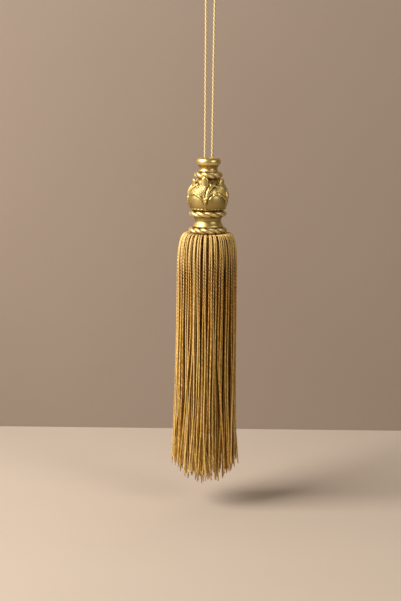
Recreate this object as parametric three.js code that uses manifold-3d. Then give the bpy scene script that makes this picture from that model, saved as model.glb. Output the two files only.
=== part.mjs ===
// Key tassel: a gilt turned and carved head on a twisted hanging loop, three rope rings laid in the head's
// grooves, and a skirt of twisted cords sewn to a heading under its foot.
// Millimetres, +Z up. The origin is where a hook or a key's bow bears in the loop, and all else hangs below it.
// The front of the tassel faces -Y.
import * as THREE from "three";
import { mergeVertices } from "three/addons/utils/BufferGeometryUtils.js";
import Module from "manifold-3d";

const wasm = await Module();
wasm.setup();

// Driving dimensions. A depth is measured downwards from the head's top face.

const SEAT_GAP = 0.3; // clearance between pieces that touch on the real tassel
const LOOP_DROP = 86.5; // hanging point to the head's top face

// Twisted cords. A ply's crown has points at these shares of its arc, with the groove midway to the next ply.
const CORD = { diameter: 1.2, plies: 2, crown: [-1 / 6, 1 / 6], groove: 0.28, pitch: 7.2, stepsPerTurn: 6 };
const ROPE = { plies: 2, crown: [-1 / 4, 0, 1 / 4], groove: 0.36, sections: 44 };

const BORE = { radius: 2.75, depth: 5.4 }; // well in the head's top that takes both legs of the loop

// Centreline of the loop: up one leg from the bore, over the bight, and down the other leg.
const LOOP_ROUTE = [
  { x: -1.72, z: -91.6 },
  { x: -1.74, z: -86.5 },
  { x: -1.78, z: -78.0 },
  { x: -1.8, z: -66.0 },
  { x: -1.86, z: -54.0 },
  { x: -1.9, z: -42.0 },
  { x: -1.94, z: -30.0 },
  { x: -2.02, z: -19.0 },
  { x: -2.16, z: -10.0 },
  { x: -2.38, z: -4.6 },
  { x: -2.45, z: -1.9 },
  { x: -2.1, z: -0.6 },
  { x: -1.2, z: 0.3 },
  { x: 0.0, z: 0.6 },
  { x: 1.2, z: 0.3 },
  { x: 2.1, z: -0.6 },
  { x: 2.45, z: -1.9 },
  { x: 2.38, z: -4.6 },
  { x: 2.18, z: -10.0 },
  { x: 2.04, z: -19.0 },
  { x: 1.98, z: -30.0 },
  { x: 1.92, z: -42.0 },
  { x: 1.9, z: -54.0 },
  { x: 1.84, z: -66.0 },
  { x: 1.8, z: -78.0 },
  { x: 1.76, z: -86.5 },
  { x: 1.74, z: -91.6 },
];

// Rope rings: the circle that each rope's centre follows, and how often the rope turns on its way round.
const ROPE_RINGS = [
  { ring: "collar_rope", depth: 8.35, radius: 5.55, diameter: 3.0, turns: 4 },
  { ring: "waist_rope", depth: 27.35, radius: 7.95, diameter: 2.8, turns: 5 },
  { ring: "foot_rope", depth: 35.55, radius: 8.05, diameter: 2.9, turns: 6 },
];
const [COLLAR_ROPE, WAIST_ROPE, FOOT_ROPE] = ROPE_RINGS;
const seatRadius = (rope) => rope.radius - rope.diameter / 2 - SEAT_GAP;

// The head's turned spindle, from its foot up. Round rows share one smooth curve, the others are corners.
const SPINDLE_SEGMENTS = 32;
const SPINDLE = [
  { place: "foot face", depth: 36.55, radius: seatRadius(FOOT_ROPE) },
  { place: "foot rope seat", depth: 34.6, radius: seatRadius(FOOT_ROPE) },
  { place: "foot edge", depth: 33.85, radius: 7.45 },
  { place: "foot flare", depth: 33.3, radius: 7.55, round: true },
  { place: "waist flare", depth: 32.3, radius: 7.0, round: true },
  { place: "waist", depth: 30.9, radius: 6.5, round: true },
  { place: "waist top", depth: 29.6, radius: 6.7, round: true },
  { place: "waist shoulder", depth: 28.95, radius: 7.15, round: true },
  { place: "waist rope seat, below", depth: 28.6, radius: seatRadius(WAIST_ROPE) },
  { place: "waist rope seat, above", depth: 26.1, radius: seatRadius(WAIST_ROPE) },
  { place: "core in the bulb, below", depth: 25.1, radius: 5.2 },
  { place: "core in the bulb, above", depth: 11.5, radius: 5.2 },
  { place: "collar rope seat, below", depth: 9.9, radius: seatRadius(COLLAR_ROPE) },
  { place: "collar rope seat, above", depth: 6.85, radius: seatRadius(COLLAR_ROPE) },
  { place: "bead, below", depth: 6.75, radius: 4.55 },
  { place: "bead", depth: 6.25, radius: 4.8, round: true },
  { place: "bead, above", depth: 5.75, radius: 4.55, round: true },
  { place: "throat", depth: 4.9, radius: 4.4, round: true },
  { place: "throat flare", depth: 4.1, radius: 4.75, round: true },
  { place: "lip underside", depth: 3.2, radius: 5.65, round: true },
  { place: "lip", depth: 1.8, radius: 6.05, round: true },
  { place: "lip shoulder", depth: 0.5, radius: 5.6, round: true },
  { place: "lip top edge", depth: 0, radius: 4.8, round: true },
  { place: "bore mouth", depth: 0, radius: BORE.radius },
  { place: "bore floor", depth: BORE.depth, radius: BORE.radius },
];

// The carved bulb: ground surface from its bottom rim up, before the leaves are raised on it.
const BULB = { segments: 70, rowsPerSection: 2, top: 10.6, bottom: 25.6 };
const BULB_GROUND = [
  { depth: 25.6, radius: 7.5 },
  { depth: 24.7, radius: 8.6 },
  { depth: 23.2, radius: 9.35 },
  { depth: 21.2, radius: 9.75 },
  { depth: 19.0, radius: 9.75 },
  { depth: 16.8, radius: 9.3 },
  { depth: 14.8, radius: 8.55 },
  { depth: 13.0, radius: 7.35 },
  { depth: 11.6, radius: 6.3 },
  { depth: 10.6, radius: 5.55 },
];

// Acanthus leaves, one stem each. A lobe's line runs from the stem through a bend to its tip: turn is degrees
// round the bulb from the stem, rise is the share of the bulb's height. A leaf's left blade is one smooth swelling.
const LEAF = { count: 5, frontTurn: -5 };
const LOBES = [
  { lobe: "stem", turn: [0, 0, 0], rise: [0.03, 0.18, 0.38], width: 1.3, height: 0.9 },
  { lobe: "middle", turn: [-1, -3, -7], rise: [0.34, 0.68, 0.98], width: 1.7, height: 1.2 },
  { lobe: "upper right", turn: [1, 4, 28], rise: [0.36, 0.72, 0.86], width: 1.5, height: 1.05 },
  { lobe: "lower left", turn: [-1, -11, -40], rise: [0.24, 0.49, 0.58], width: 1.3, height: 0.85 },
  { lobe: "lower right", turn: [1, 5, 30], rise: [0.19, 0.48, 0.56], width: 1.2, height: 0.85 },
];
const LOBE_SAMPLES = 12;
const BLADE = { turn: -21, rise: 0.68, halfTurn: 26, halfRise: 0.22, height: 1.0 };

// Each leaf's tip curls away from the neck as a small tongue: sections from its root to its blunt point.
// The tips lean off their stems by hand, from the front leaf round by way of the right.
const TIP_TURNS = [-8, -6, 0, 0, 10];
const TIP_SECTIONS = [
  { depth: 13.8, radius: 7.6, width: 3.6, thickness: 1.8 },
  { depth: 12.4, radius: 7.65, width: 3.7, thickness: 1.6 },
  { depth: 11.2, radius: 7.75, width: 3.4, thickness: 1.4 },
  { depth: 10.1, radius: 7.95, width: 2.0, thickness: 0.9 },
];

// The skirt's heading: a sewn pad under the foot, from its underside up.
const HEADING_SEGMENTS = 16;
const HEADING = [
  { place: "underside", depth: 44.0, radius: 8.5 },
  { place: "wall top", depth: 38.5, radius: 8.5 },
  { place: "under the rope", depth: 37.7, radius: 7.2 },
  { place: "seat edge", depth: 36.55 + SEAT_GAP, radius: 5.9 },
];

// Shoulder that an outermost strand rides over between its root and its free fall.
const SHOULDER = [
  { depth: 39.5, radius: 7.6 },
  { depth: 38.5, radius: 9.0 },
  { depth: 37.5, radius: 10.4 },
  { depth: 37.7, radius: 11.8 },
  { depth: 39.3, radius: 12.9 },
  { depth: 42.0, radius: 13.65 },
  { depth: 46.0, radius: 14.25 },
  { depth: 51.0, radius: 14.5 },
];
const STRAND = { width: 1.0, tipWidth: 0.84, shareOfPitch: 0.68 };
const PAIRING = 0.16; // two neighbours leave the heading this share of their pitch nearer to each other

// Concentric layers of strands. Those that ride over the shoulder bend at shares of its length;
// those of the core drop straight from the heading's underside.
const LAYER_PITCH = 1.4;
const LAYERS = [
  { layer: "outermost", strands: 62, radius: 14.5, sides: 4, bends: [0.22, 0.38, 0.62, 1], fallSteps: 3, flare: 1.3 },
  { layer: "second", strands: 50, radius: 13.1, sides: 3, bends: [0.34, 1], fallSteps: 2, flare: 0.7 },
  { layer: "third", strands: 36, radius: 11.7, sides: 3, bends: [0.34, 1], fallSteps: 1, flare: 0.5 },
  { layer: "core, outer", strands: 28, radius: 9.4, sides: 3, bends: [], fallSteps: 1, flare: 0.4 },
  { layer: "core, middle", strands: 18, radius: 6.6, sides: 3, bends: [], fallSteps: 1, flare: 0.3 },
  { layer: "core, inner", strands: 9, radius: 3.4, sides: 3, bends: [], fallSteps: 1, flare: 0.2 },
];
const CORE_ROOT_DEPTH = 42.6;
const HEM = { rimDepth: 155.0, middleDepth: 163.0, dome: 0.7, scatter: 2.3, drift: 0.1 };

// Materials

const gilt = new THREE.MeshStandardMaterial({ color: "#b8923f", roughness: 0.32, metalness: 1 });
const giltRope = new THREE.MeshStandardMaterial({ color: "#bd9a4c", roughness: 0.36, metalness: 1 });
const loopCord = new THREE.MeshStandardMaterial({ color: "#d6b878", roughness: 0.6, metalness: 0 });
const skirtYarn = new THREE.MeshStandardMaterial({ color: "#b98a45", roughness: 0.62, metalness: 0 });

// Shared shapes

// A closed surface through cross-sections of the same number of points, which run counter-clockwise about the
// way of travel. Each four-sided patch is split along its shorter diagonal, so that a twist stays smooth.
// An open row gets two flat ends; a ring's last section meets its first.
function loft(sections, isRing = false) {
  const sides = sections[0].length;
  const points = sections.flat();
  const faces = [];
  const spans = isRing ? sections.length : sections.length - 1;
  for (let span = 0; span < spans; span += 1) {
    const here = span * sides;
    const next = ((span + 1) % sections.length) * sides;
    for (let side = 0; side < sides; side += 1) {
      const after = (side + 1) % sides;
      const rising = points[here + side].distanceTo(points[next + after]);
      const falling = points[here + after].distanceTo(points[next + side]);
      const [near, far] = rising < falling ? [side, after] : [after, side];
      faces.push(here + side, here + after, next + far);
      faces.push(here + near, next + after, next + side);
    }
  }
  if (!isRing) {
    const last = (sections.length - 1) * sides;
    for (let side = 1; side < sides - 1; side += 1) {
      faces.push(0, side + 1, side);
      faces.push(last, last + side, last + side + 1);
    }
  }
  return new THREE.BufferGeometry().setFromPoints(points).setIndex(faces);
}

// An outline set square to the way of travel. Its y runs along `across`, and its x square to both.
function placeOutline(outline, centre, travel, across) {
  const along = travel.clone().normalize();
  const outward = new THREE.Vector3().crossVectors(across, along).normalize();
  const sideways = new THREE.Vector3().crossVectors(along, outward);
  return outline.map(({ x, y }) => centre.clone().addScaledVector(outward, x).addScaledVector(sideways, y));
}

// Section of a twisted rope, turned by an angle.
function ropeOutline({ diameter, plies, crown, groove }, turned) {
  const points = [];
  for (let ply = 0; ply < plies; ply += 1) {
    for (const share of [...crown, 1 / 2]) {
      const angle = turned + (2 * Math.PI * (ply + share)) / plies;
      const reach = (diameter / 2) * (share === 1 / 2 ? 1 - groove : 1);
      points.push(new THREE.Vector2(Math.cos(angle), Math.sin(angle)).multiplyScalar(reach));
    }
  }
  return points;
}

// Profile of a turned piece for a lathe, from the axis at its bottom to the axis at its top.
function turnedProfile(rows) {
  const path = new THREE.Path().moveTo(0, -rows[0].depth);
  let curve = [];
  for (const { depth, radius, round } of rows) {
    if (round) {
      curve.push(new THREE.Vector2(radius, -depth));
      continue;
    }
    if (curve.length) path.splineThru(curve);
    curve = [];
    path.lineTo(radius, -depth);
  }
  path.lineTo(0, -rows.at(-1).depth);
  return path.getPoints(1);
}

function turned(rows, segments) {
  return new THREE.LatheGeometry(turnedProfile(rows), segments).rotateX(Math.PI / 2);
}

function toSolid(geometry) {
  const bare = geometry.clone().deleteAttribute("normal").deleteAttribute("uv");
  const merged = mergeVertices(bare, 1e-4);
  const vertProperties = new Float32Array(merged.attributes.position.array);
  const triVerts = new Uint32Array(merged.index.array);
  return new wasm.Manifold(new wasm.Mesh({ numProp: 3, vertProperties, triVerts }));
}

function joined(geometries) {
  const { vertProperties, triVerts } = geometries.map(toSolid).reduce((all, one) => all.add(one)).getMesh();
  const geometry = new THREE.BufferGeometry();
  geometry.setAttribute("position", new THREE.BufferAttribute(vertProperties, 3));
  return geometry.setIndex(new THREE.BufferAttribute(triVerts, 1));
}

function pieceOf(name, geometry, material) {
  geometry.computeVertexNormals();
  const piece = new THREE.Mesh(geometry, material);
  piece.name = name;
  return piece;
}

// A repeatable number from 0 to 1 for a strand.
function scatter(strand, salt) {
  const wave = Math.sin(strand * 12.9898 + salt * 78.233) * 43758.5453;
  return wave - Math.floor(wave);
}

// Hanging loop

function hangingLoop() {
  const route = new THREE.CatmullRomCurve3(LOOP_ROUTE.map(({ x, z }) => new THREE.Vector3(x, 0, z)));
  const turns = Math.round(route.getLength() / CORD.pitch);
  const steps = turns * CORD.stepsPerTurn;
  const across = new THREE.Vector3(0, 1, 0);
  const sections = [];
  for (let step = 0; step <= steps; step += 1) {
    const outline = ropeOutline(CORD, (2 * Math.PI * step) / CORD.stepsPerTurn);
    const share = step / steps;
    sections.push(placeOutline(outline, route.getPointAt(share), route.getTangentAt(share), across));
  }
  return pieceOf("hanging_loop", loft(sections), loopCord);
}

// Rope rings

function ropeRing({ ring, depth, radius, diameter, turns }) {
  const up = new THREE.Vector3(0, 0, 1);
  const sections = [];
  for (let step = 0; step < ROPE.sections; step += 1) {
    const angle = (2 * Math.PI * step) / ROPE.sections;
    const outward = new THREE.Vector3(Math.cos(angle), Math.sin(angle), 0);
    const outline = ropeOutline({ ...ROPE, diameter }, turns * angle);
    const travel = new THREE.Vector3().crossVectors(up, outward);
    sections.push(placeOutline(outline, outward.multiplyScalar(radius).setZ(-depth), travel, up));
  }
  return pieceOf(ring, loft(sections, true), giltRope);
}

// Head

// Height of the carving at a turn from the nearest stem, in degrees, and a share of the bulb's height.
function reliefAt(turn, rise, radius) {
  const height = BULB.bottom - BULB.top;
  const millimetres = (turns, rises) => Math.hypot(THREE.MathUtils.degToRad(turns) * radius, rises * height);
  let relief = 0;
  for (const fromStem of [turn - 360 / LEAF.count, turn]) {
    const off = Math.hypot((fromStem - BLADE.turn) / BLADE.halfTurn, (rise - BLADE.rise) / BLADE.halfRise);
    relief = Math.max(relief, BLADE.height * Math.sqrt(Math.max(0, 1 - off ** 2)));
  }
  for (const lobe of LOBES) {
    const [root, bend, tip] = lobe.turn.map((degrees, i) => new THREE.Vector2(degrees, lobe.rise[i]));
    const line = new THREE.QuadraticBezierCurve(root, bend, tip);
    for (let sample = 0; sample <= LOBE_SAMPLES; sample += 1) {
      const share = sample / LOBE_SAMPLES;
      const at = line.getPoint(share);
      const width = lobe.width * (0.45 + 0.55 * Math.sin(Math.PI * (0.1 + 0.75 * share)));
      const off = millimetres(turn - at.x, rise - at.y) / width;
      relief = Math.max(relief, lobe.height * (1 - off ** 2));
    }
  }
  return relief;
}

function carvedBulb() {
  const ground = new THREE.SplineCurve(BULB_GROUND.map(({ depth, radius }) => new THREE.Vector2(radius, -depth)));
  const rows = ground.getPoints(BULB.rowsPerSection * (BULB_GROUND.length - 1));
  const profile = [new THREE.Vector2(0, -BULB.bottom), ...rows, new THREE.Vector2(0, -BULB.top)];
  const geometry = new THREE.LatheGeometry(profile, BULB.segments).rotateX(Math.PI / 2);
  const places = geometry.attributes.position;
  const spacing = 360 / LEAF.count;
  for (let i = 0; i < places.count; i += 1) {
    const radius = Math.hypot(places.getX(i), places.getY(i));
    if (radius < 1) continue;
    const fromFront = THREE.MathUtils.radToDeg(Math.atan2(places.getX(i), -places.getY(i))) - LEAF.frontTurn;
    const turn = fromFront - spacing * Math.round(fromFront / spacing);
    const rise = (places.getZ(i) + BULB.bottom) / (BULB.bottom - BULB.top);
    const swell = 1 + reliefAt(turn, rise, radius) / radius;
    places.setX(i, places.getX(i) * swell);
    places.setY(i, places.getY(i) * swell);
  }
  return geometry;
}

function leafTip(leaf) {
  const turn = THREE.MathUtils.degToRad(LEAF.frontTurn + TIP_TURNS[leaf] + (360 / LEAF.count) * leaf);
  const outward = new THREE.Vector3(Math.sin(turn), -Math.cos(turn), 0);
  const across = new THREE.Vector3(Math.cos(turn), Math.sin(turn), 0);
  const centres = TIP_SECTIONS.map(({ depth, radius }) => outward.clone().multiplyScalar(radius).setZ(-depth));
  const sections = TIP_SECTIONS.map(({ width, thickness }, i) => {
    const before = centres[Math.max(0, i - 1)];
    const after = centres[Math.min(centres.length - 1, i + 1)];
    const outline = [
      new THREE.Vector2(thickness / 2, 0),
      new THREE.Vector2(0, width / 2),
      new THREE.Vector2(-thickness / 2, 0),
      new THREE.Vector2(0, -width / 2),
    ];
    return placeOutline(outline, centres[i], after.clone().sub(before), across);
  });
  return loft(sections);
}

function head() {
  const tips = Array.from({ length: LEAF.count }, (_, leaf) => leafTip(leaf));
  return pieceOf("head", joined([turned(SPINDLE, SPINDLE_SEGMENTS), carvedBulb(), ...tips]), gilt);
}

// Skirt

// Points down the middle of a strand, as depth and radius, from its root to its cut end.
function strandFall({ radius, bends, fallSteps, flare }, layerIndex, end, spread) {
  const points = [];
  const root = SHOULDER[0];
  const crest = SHOULDER.at(-1);
  const narrowing = (radius - root.radius) / (crest.radius - root.radius);
  if (bends.length) {
    const rows = SHOULDER.map((row) => new THREE.Vector2(
      root.radius + (row.radius - root.radius) * narrowing,
      row.depth + LAYER_PITCH * layerIndex,
    ));
    const shoulder = new THREE.SplineCurve(rows);
    points.push(...[0, ...bends].map((share) => shoulder.getPointAt(share)));
  } else {
    points.push(new THREE.Vector2(Math.min(radius, root.radius), CORE_ROOT_DEPTH));
  }
  const start = points.at(-1);
  for (let step = 1; step <= fallSteps; step += 1) {
    const share = step / fallSteps;
    const settled = radius + flare * (1 + spread) * share ** 2;
    points.push(new THREE.Vector2(settled, start.y + (end - start.y) * share));
  }
  return points;
}

function strand(layer, layerIndex, strandIndex) {
  const number = layerIndex * 100 + strandIndex;
  const pitch = (2 * Math.PI) / layer.strands;
  const fill = (1 - (layer.radius / LAYERS[0].radius) ** 2) ** HEM.dome;
  const end = HEM.rimDepth + (HEM.middleDepth - HEM.rimDepth) * fill + HEM.scatter * (2 * scatter(number, 1) - 1);
  const points = strandFall(layer, layerIndex, end, scatter(number, 2) ** 2);
  const crest = layer.bends.length;
  const drift = pitch * HEM.drift * (2 * scatter(number, 3) - 1);
  const centres = points.map(({ x: radius, y: depth }, i) => {
    const share = Math.max(0, i - crest) / layer.fallSteps;
    const gathered = Math.max(0, 1 - i / Math.max(1, crest)) * PAIRING * (strandIndex % 2 ? -0.5 : 0.5);
    const angle = pitch * (strandIndex + 0.5 * (layerIndex % 2) + gathered) + drift * share;
    return new THREE.Vector3(radius * Math.cos(angle), radius * Math.sin(angle), -depth);
  });
  const sections = centres.map((centre, i) => {
    const share = Math.max(0, i - crest) / layer.fallSteps;
    const full = THREE.MathUtils.lerp(STRAND.width, STRAND.tipWidth, share);
    const width = Math.min(full, STRAND.shareOfPitch * pitch * points[i].x);
    const outline = Array.from({ length: layer.sides }, (_, side) => {
      const angle = Math.PI + (2 * Math.PI * side) / layer.sides;
      return new THREE.Vector2((Math.cos(angle) * full) / 2, (Math.sin(angle) * width) / 2);
    });
    const travel = centres[Math.min(centres.length - 1, i + 1)].clone().sub(centres[Math.max(0, i - 1)]);
    const across = new THREE.Vector3(-centre.y, centre.x, 0).normalize();
    return placeOutline(outline, centre, travel, across);
  });
  return loft(sections);
}

function skirt() {
  const strands = LAYERS.flatMap((layer, layerIndex) =>
    Array.from({ length: layer.strands }, (_, strandIndex) => strand(layer, layerIndex, strandIndex)),
  );
  return pieceOf("skirt", joined([turned(HEADING, HEADING_SEGMENTS), ...strands]), skirtYarn);
}

// Assembly: everything but the loop is placed from the head's top face.

const belowLoop = new THREE.Group();
belowLoop.position.z = -LOOP_DROP;
belowLoop.add(head(), ...ROPE_RINGS.map(ropeRing), skirt());

const keyTassel = new THREE.Group();
keyTassel.add(hangingLoop(), belowLoop);

export default keyTassel;
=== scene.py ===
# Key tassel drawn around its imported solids: the hanging loop, the gilt head with its three rope rings, and
# the skirt of twisted strands. The scene is in metres, +Z up, and its origin is where the loop bears on what
# holds it. The tassel's own sizes are in millimetres, and depths run down from the head's top.
import math
from collections import namedtuple
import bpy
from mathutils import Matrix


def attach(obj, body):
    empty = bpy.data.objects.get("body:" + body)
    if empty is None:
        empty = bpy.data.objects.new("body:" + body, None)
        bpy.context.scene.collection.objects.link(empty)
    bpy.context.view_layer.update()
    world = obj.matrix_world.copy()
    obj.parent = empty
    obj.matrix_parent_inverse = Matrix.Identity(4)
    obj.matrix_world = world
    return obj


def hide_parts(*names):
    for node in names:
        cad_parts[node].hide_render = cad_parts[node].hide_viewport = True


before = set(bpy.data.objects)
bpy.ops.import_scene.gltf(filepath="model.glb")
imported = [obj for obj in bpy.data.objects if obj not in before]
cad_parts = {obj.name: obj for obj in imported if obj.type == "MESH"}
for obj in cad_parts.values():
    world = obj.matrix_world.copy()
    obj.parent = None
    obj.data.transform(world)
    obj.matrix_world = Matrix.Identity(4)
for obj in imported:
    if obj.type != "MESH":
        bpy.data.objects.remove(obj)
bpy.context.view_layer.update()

from types import SimpleNamespace

import bpy
import numpy as np
from mathutils import Matrix, Vector


# Camera
# A long lens a little above the head, which looks down on the hem. The tassel leans a trifle in the picture,
# so the camera is rolled by as much. The sensor's width spans the picture's longer side, which is its height.
PHOTO_TALL = 601
LENS_IN_PIXELS = 1400
SENSOR_MM = 36.0
CAMERA_AT = (-0.0032, -0.6910, -0.0457)
CAMERA_PITCH = math.radians(9.2)
CAMERA_ROLL = math.radians(0.65)
NEAREST_SEEN = 0.01


def add_object(name, data):
    """A new object in the scene."""
    made = bpy.data.objects.new(name, data)
    bpy.context.scene.collection.objects.link(made)
    return made


camera = add_object("camera", bpy.data.cameras.new("camera"))
camera.data.sensor_width = SENSOR_MM
camera.data.lens = LENS_IN_PIXELS * SENSOR_MM / PHOTO_TALL
camera.data.clip_start = NEAREST_SEEN
camera.matrix_world = (
    Matrix.Translation(CAMERA_AT)
    @ Matrix.Rotation(math.pi / 2 - CAMERA_PITCH, 4, "X")
    @ Matrix.Rotation(CAMERA_ROLL, 4, "Z")
)
bpy.context.scene.camera = camera


# Hanging loop
# One length of pale gold cord, two plies of satin viscose twisted hard together, doubled over and glued into
# the hole in the head's top. Its top, out of the picture, turns over the hook or key that holds it.
MM = 0.001
CORD_WIDE = 1.2
# The turn of the plies is drawn coarser than the real one, so that it shows.
CORD_PLY_TURN = 4.4
# A ply's middle lies off the cord's own by this share of the cord's half width.
CORD_PLY_OFFSET = 0.3
CORD_FIBRE_WIDE, CORD_FIBRE_LONG = 0.2, 1.4
# Points round the cord, sections along one turn of its plies, and sections to a point of its declared path.
CORD_SIDES, CORD_SECTIONS_A_TURN, CORD_PATH_EVERY = 10, 16, 4
# The cord's middle line from one glued end to the other: sideways and up from the origin.
LOOP_ROUTE = [
    (-1.72, -91.6), (-1.74, -86.5), (-1.78, -78.0), (-1.8, -66.0), (-1.86, -54.0), (-1.9, -42.0),
    (-1.94, -30.0), (-2.02, -19.0), (-2.16, -10.0), (-2.38, -4.6), (-2.45, -1.9), (-2.1, -0.6),
    (-1.2, 0.3), (0.0, 0.6), (1.2, 0.3),
    (2.1, -0.6), (2.45, -1.9), (2.38, -4.6), (2.18, -10.0), (2.04, -19.0), (1.98, -30.0),
    (1.92, -42.0), (1.9, -54.0), (1.84, -66.0), (1.8, -78.0), (1.76, -86.5), (1.74, -91.6),
]
# A smooth line is worked out at this many places between two given points.
SAMPLES_A_SPAN = 24


def linear(colour):
    """An sRGB hex colour as linear red, green, blue and alpha."""
    parts = [int(colour[i:i + 2], 16) / 255 for i in (1, 3, 5)]
    return [p / 12.92 if p <= 0.04045 else ((p + 0.055) / 1.055) ** 2.4 for p in parts] + [1.0]


def add_node(tree, kind, sockets=(), **settings):
    """A shader node with its settings, and a value or a link on each socket that is named or numbered."""
    node = tree.nodes.new("ShaderNode" + kind)
    for name, value in settings.items():
        setattr(node, name, value)
    for name, value in dict(sockets).items():
        if isinstance(value, bpy.types.NodeSocket):
            tree.links.new(value, node.inputs[name])
        else:
            node.inputs[name].default_value = value
    return node


def new_material(name):
    """An empty material, its node tree and its output node."""
    material = bpy.data.materials.new(name)
    material.use_nodes = True
    material.node_tree.nodes.clear()
    return material, material.node_tree, add_node(material.node_tree, "OutputMaterial")


def unit(vectors):
    """Vectors made one long."""
    return vectors / np.linalg.norm(vectors, axis=-1, keepdims=True)


def run_along(line):
    """How far along a line each of its points lies."""
    return np.r_[0, np.cumsum(np.linalg.norm(np.diff(line, axis=0), axis=1))]


def smooth_line(points, spacing):
    """Points about `spacing` apart along a smooth line through a few."""
    points = np.asarray(points, float)
    padded = np.vstack([points[:1], points, points[-1:]])
    t = np.linspace(0, 1, SAMPLES_A_SPAN, endpoint=False)[:, None]
    spans = []
    for a, b, c, d in zip(padded, padded[1:], padded[2:], padded[3:]):
        bend = (2 * a - 5 * b + 4 * c - d) * t**2 + (3 * b - a - 3 * c + d) * t**3
        spans.append(0.5 * (2 * b + (c - a) * t + bend))
    line = np.vstack([*spans, points[-1:]])
    run = run_along(line)
    steps = np.linspace(0, run[-1], max(2, round(run[-1] / spacing) + 1))
    return np.stack([np.interp(steps, run, column) for column in line.T], axis=1)


def two_ply(sides, offset):
    """Angles round a two-ply section, with its reach and the depth in the groove between plies at each."""
    angle = 2 * np.pi * np.arange(sides) / sides
    reach = offset * np.abs(np.cos(angle)) + np.sqrt((1 - offset) ** 2 - (offset * np.sin(angle)) ** 2)
    return angle, reach, (1 - reach) / (1 - reach.min())


def rings_round(line, outward, sideways, spread, swing):
    """Rings of points `spread` off a line, at the angles `swing` from outward to sideways."""
    out = outward[..., None, :] * (spread * np.cos(swing))[..., None]
    aside = sideways[..., None, :] * (spread * np.sin(swing))[..., None]
    return line[..., None, :] + out + aside


def yarn_places(spread, angle, run):
    """Each point's place in its yarn: across it both ways, and along it."""
    return np.stack(
        np.broadcast_arrays(spread * np.cos(angle), spread * np.sin(angle), run[..., None]), axis=-1
    )


def tube_faces(rings, sides, closed=False, start=0):
    """Faces of a tube of rings, its points counted from `start`: closed on itself, or with flat ends."""
    point = start + np.arange(rings * sides).reshape(rings, sides)
    here = point if closed else point[:-1]
    ahead = np.roll(point, -1, axis=0) if closed else point[1:]
    corners = [here, np.roll(here, -1, axis=1), np.roll(ahead, -1, axis=1), ahead]
    faces = np.stack(corners, axis=-1).reshape(-1, 4).tolist()
    if not closed:
        faces += [point[0, ::-1].tolist(), point[-1].tolist()]
    return faces


def make_piece(name, places, faces, material, slot, node, **fields):
    """A smooth mesh in place of a solid, from points in millimetres with a value of each field at each."""
    mesh = bpy.data.meshes.new(name)
    mesh.from_pydata((np.asarray(places, float).reshape(-1, 3) * MM).tolist(), [], faces)
    mesh.shade_smooth()
    for field, values in fields.items():
        kind, key = ("FLOAT_VECTOR", "vector") if field == "fibre" else ("FLOAT", "value")
        attribute = mesh.attributes.new(field, kind, "POINT")
        attribute.data.foreach_set(key, np.asarray(values, np.float32).ravel())
    mesh.materials.append(material)
    piece = add_object(name, mesh)
    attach(piece, "root")
    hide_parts(node)
    return piece


# Satin viscose cord: a soft shine on the crown of each ply, painted shade in the groove between them,
# and fibres that run with it.
# The fibres are drawn 0.2 mm wide, several times coarser than real ones, so that they show.
# A Mix of colours takes its share on socket 0 and its colours on 6 and 7, and gives the result on output 2.
cord_yarn, tree, surface = new_material("pale_gold_viscose_cord")
fibre = add_node(tree, "Attribute", attribute_name="fibre").outputs["Vector"]
groove = add_node(tree, "Attribute", attribute_name="groove").outputs["Fac"]
fibres_per_mm = (1 / CORD_FIBRE_WIDE, 1 / CORD_FIBRE_WIDE, 1 / CORD_FIBRE_LONG)
along = add_node(tree, "VectorMath", {0: fibre, 1: fibres_per_mm}, operation="MULTIPLY").outputs["Vector"]
strand_noise = add_node(tree, "TexNoise", {"Vector": along, "Scale": 1.0, "Detail": 3.0}).outputs["Fac"]
crown_tone = add_node(
    tree, "Mix", {0: strand_noise, 6: linear("#cbb378"), 7: linear("#eddeb2")}, data_type="RGBA"
).outputs[2]
groove_share = add_node(tree, "Math", {0: groove, 1: 1.2}, operation="POWER").outputs[0]
# Painted shade: the groove between the plies is mixed toward a duller, darker gold.
cord_tone = add_node(
    tree, "Mix", {0: groove_share, 6: crown_tone, 7: linear("#b09456")}, data_type="RGBA"
).outputs[2]
cord_bump = add_node(
    tree, "Bump", {"Height": strand_noise, "Strength": 0.35, "Distance": 0.1 * MM}
).outputs[0]
cord_shader = add_node(
    tree,
    "BsdfPrincipled",
    {
        "Base Color": cord_tone,
        "Roughness": 0.55,
        "Sheen Weight": 0.2,
        "Sheen Roughness": 0.4,
        "Normal": cord_bump,
    },
)
tree.links.new(cord_shader.outputs[0], surface.inputs[0])

loop_line = smooth_line([(x, 0.0, z) for x, z in LOOP_ROUTE], CORD_PLY_TURN / CORD_SECTIONS_A_TURN)
loop_run = run_along(loop_line)
travel = unit(np.gradient(loop_line, axis=0))
outward = unit(np.cross([0.0, 1.0, 0.0], travel))
angle, reach, groove_depth = two_ply(CORD_SIDES, CORD_PLY_OFFSET)
spread = CORD_WIDE / 2 * reach
swing = (-2 * np.pi * loop_run / CORD_PLY_TURN)[:, None] + angle
rings = rings_round(loop_line, outward, np.cross(travel, outward), spread, swing)
loop_piece = make_piece(
    "loop_cord",
    rings,
    tube_faces(len(loop_line), CORD_SIDES),
    cord_yarn,
    slot="loop_cord",
    node="hanging_loop",
    fibre=yarn_places(spread, angle, loop_run),
    groove=np.broadcast_to(groove_depth, rings.shape[:2]),
)


# Head
# A moulding turned to a lip, throat, bead, bulb, waist and flared foot. The bulb is carved with acanthus
# leaves whose tips curl off it at the collar. The whole is gilt, with painted shade in brown in its hollows
# and wherever it lies in shade.
HEAD_TOP = -86.5
ROUND_STEPS, ROW_SPACING = 270, 0.16
BULB_TOP, BULB_BOTTOM = 10.6, 25.6
BULB_TALL = BULB_BOTTOM - BULB_TOP
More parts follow.
